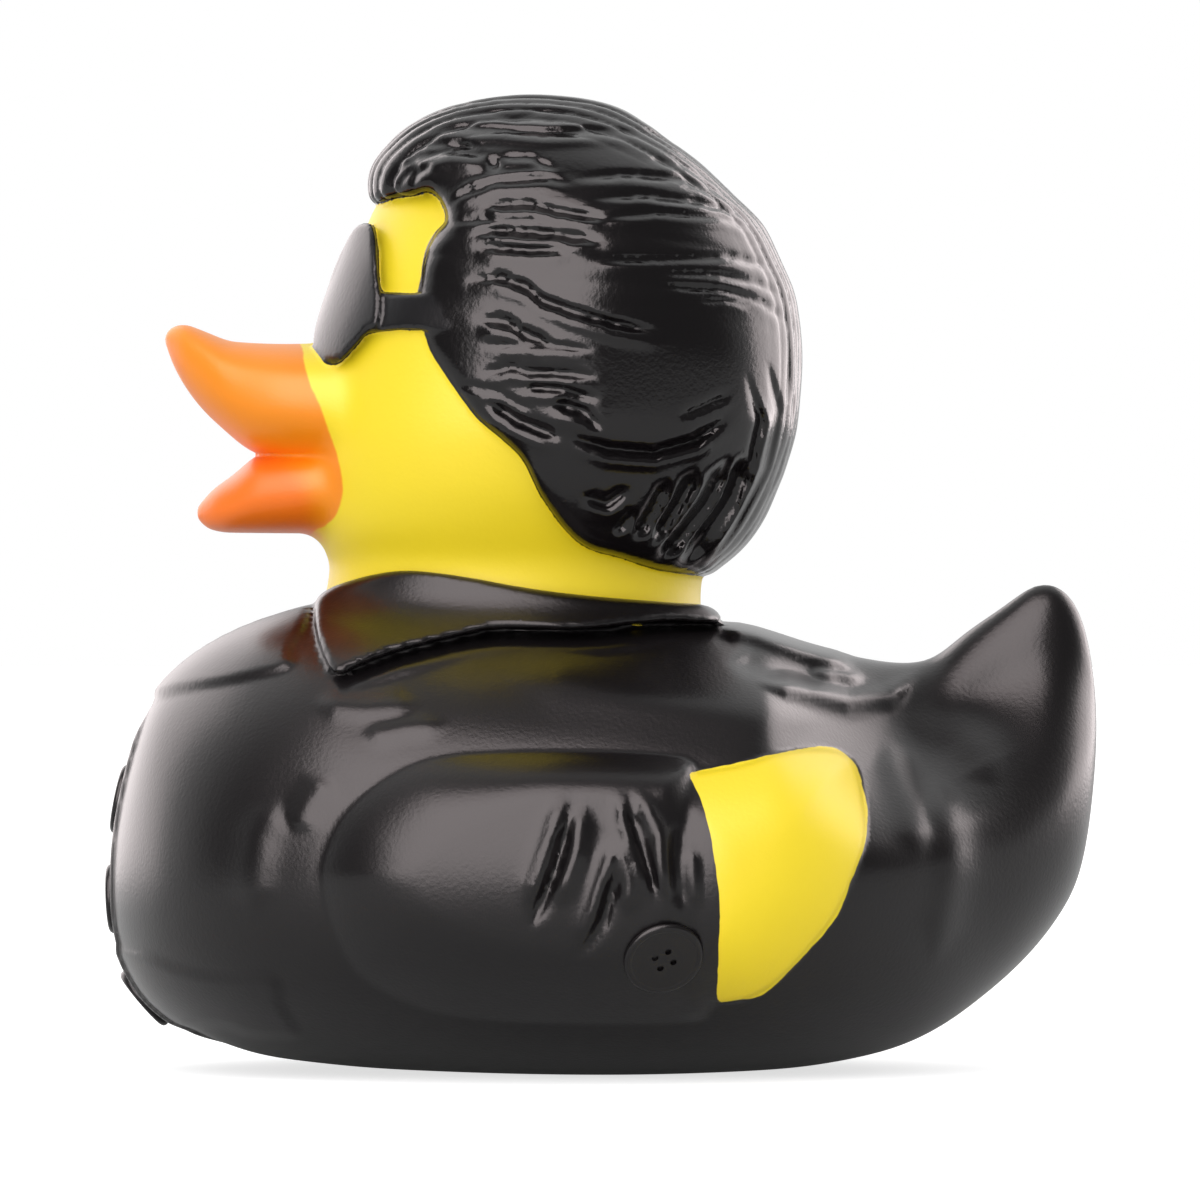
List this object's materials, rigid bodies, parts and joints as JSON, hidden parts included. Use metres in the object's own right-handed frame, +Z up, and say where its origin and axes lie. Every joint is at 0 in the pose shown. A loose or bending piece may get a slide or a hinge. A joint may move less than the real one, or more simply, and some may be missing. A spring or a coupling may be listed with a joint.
{
  "type": "rubber duck",
  "caption": "Rubber bath duck in one piece of vinyl, with swept-back black hair, wrap sunglasses, an open orange bill and a black buttoned jacket with yellow wing tips.",
  "frame": {"origin": "centre of the flat base, on the surface that the duck stands on", "axes": "+X towards the tail, -Y to the duck's left side, +Z up"},
  "size_m": [0.0911, 0.08, 0.0899],
  "materials": {
    "painted_vinyl": "gloss"
  },
  "bodies": {
    "root": {"duck_body": "painted_vinyl"}
  },
  "joints": []
}
